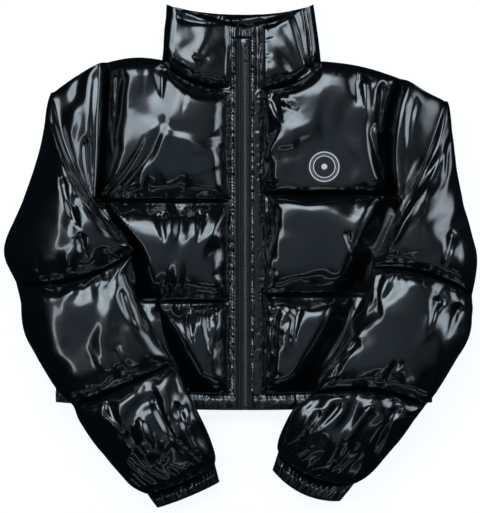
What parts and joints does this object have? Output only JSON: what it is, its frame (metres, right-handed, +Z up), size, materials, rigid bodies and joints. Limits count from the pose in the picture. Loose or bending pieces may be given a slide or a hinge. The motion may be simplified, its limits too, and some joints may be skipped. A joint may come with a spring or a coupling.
{
  "type": "puffer jacket",
  "caption": "Cropped stand-collar puffer jacket in a high-gloss black shell, zipped shut and laid flat on its back with both sleeves folded in over the front.",
  "frame": {"origin": "on the surface the jacket lies on, under the middle of its outline", "axes": "+X towards the jacket's own left side, +Y towards its collar, +Z up off the surface"},
  "size_m": [0.7068, 0.7598, 0.1058],
  "materials": {
    "gloss_shell": "high-gloss wet-look coated nylon",
    "elastic_edge": "gathered gloss nylon over elastic",
    "zip_tape": "matt woven tape",
    "slider_black": "polished black enamel",
    "badge_rubber": "satin moulded rubber"
  },
  "bodies": {
    "jacket": {"back": "gloss_shell", "front_right": "gloss_shell", "front_left": "gloss_shell", "sleeve_right": "gloss_shell", "sleeve_left": "gloss_shell", "collar": "gloss_shell", "cuff_right": "elastic_edge", "cuff_left": "elastic_edge", "hem_right": "elastic_edge", "hem_left": "elastic_edge", "hem_back": "elastic_edge", "zip_tape_right": "zip_tape", "zip_tape_left": "zip_tape", "zip_slider": "slider_black", "badge": "badge_rubber"},
    "pull": {"zip_pull": "slider_black"}
  },
  "joints": [
    {"name": "pull_hinge", "type": "hinge", "parent": "jacket", "child": "pull", "pos_m": [0.00744, 0.32115, 0.034], "axis": [-1, 0, 0], "range_deg": [0, 165]}
  ]
}
